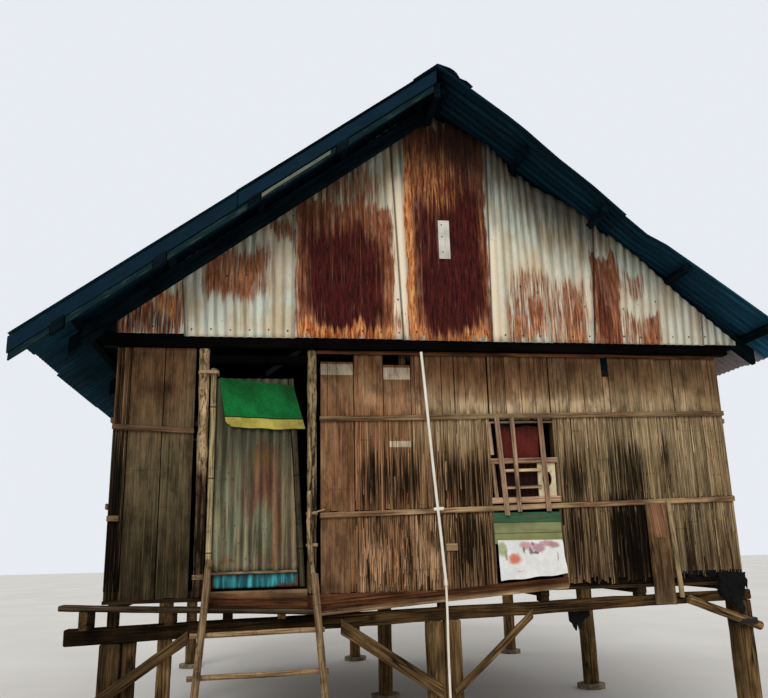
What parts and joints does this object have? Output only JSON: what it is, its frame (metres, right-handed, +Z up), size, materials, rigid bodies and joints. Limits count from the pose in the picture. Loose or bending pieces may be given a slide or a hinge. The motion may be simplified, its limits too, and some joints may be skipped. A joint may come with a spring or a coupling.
{
  "type": "stilt house",
  "caption": "Gabled house on timber stilts: bamboo walls, rusted corrugated gables, a dark sheet roof, a hinged sheet door with a ladder, and a barred window.",
  "frame": {"origin": "on the ground, under the middle post of the house", "axes": "+X along the front wall to the right as seen from the front, -Y out of the front wall, +Z up"},
  "size_m": [6.33, 7.7448, 5.6378],
  "materials": {
    "foot_stone": "rough field stone",
    "grey_timber": "weathered grey-brown timber",
    "frame_timber": "dark sawn timber",
    "sawn_board": "weathered sawn board",
    "red_board": "reddish brown board",
    "bamboo_panel": "flattened bamboo, weathered and mildewed",
    "bamboo_pole": "weathered bamboo",
    "rusted_sheet": "corrugated galvanised sheet, heavily rusted",
    "roof_sheet": "dark corrugated sheet",
    "dark_board": "dark stained board",
    "door_zinc": "dull galvanised corrugated sheet with rust streaks",
    "turquoise_sheet": "turquoise painted corrugated sheet",
    "green_cloth": "green woven cloth with a yellow band",
    "flowered_cloth": "white cloth with pink flowers",
    "maroon_cloth": "maroon curtain",
    "green_paint": "faded green painted planks",
    "white_pipe": "white plastic pipe",
    "rope": "weathered rope"
  },
  "bodies": {
    "house": {"foot_stones": "foot_stone", "front_posts": "grey_timber", "rear_posts": "grey_timber", "front_beam": "grey_timber", "cross_beams": "grey_timber", "joist_packers": "frame_timber", "floor_joists": "frame_timber", "floor_boards": "bamboo_panel", "front_braces": "sawn_board", "plank_bearers": "frame_timber", "front_plank": "grey_timber", "kick_board": "sawn_board", "threshold": "red_board", "sill_plates": "frame_timber", "corner_posts": "frame_timber", "wall_studs": "frame_timber", "door_posts": "sawn_board", "lintel": "frame_timber", "tie_beams": "frame_timber", "wall_plates": "frame_timber", "front_panels": "bamboo_panel", "side_panels": "bamboo_panel", "back_panels": "bamboo_panel", "front_battens": "bamboo_pole", "outer_battens": "bamboo_pole", "window_grille": "bamboo_pole", "window_cloth": "maroon_cloth", "window_board": "sawn_board", "green_planks": "green_paint", "white_cloth": "flowered_cloth", "hanging_boards": "sawn_board", "front_gable_sheets": "rusted_sheet", "back_gable_sheets": "rusted_sheet", "king_posts": "frame_timber", "ridge_beam": "frame_timber", "rafters": "frame_timber", "purlins": "frame_timber", "roof_sheets_left": "roof_sheet", "roof_sheets_right": "roof_sheet", "barge_boards": "dark_board", "ridge_cap": "roof_sheet", "white_conduit": "white_pipe", "ladder_rails": "bamboo_pole", "ladder_rungs": "bamboo_pole", "post_ropes": "rope"},
    "door": {"door_stiles": "bamboo_pole", "door_rails": "bamboo_pole", "door_sheet": "door_zinc", "door_lower_sheet": "turquoise_sheet", "door_cloth": "green_cloth"}
  },
  "joints": [
    {"name": "door_swing", "type": "hinge", "parent": "house", "child": "door", "pos_m": [-1.8, -3.175, 1.4], "axis": [0, 0, 1], "range_deg": [0, 90]}
  ]
}
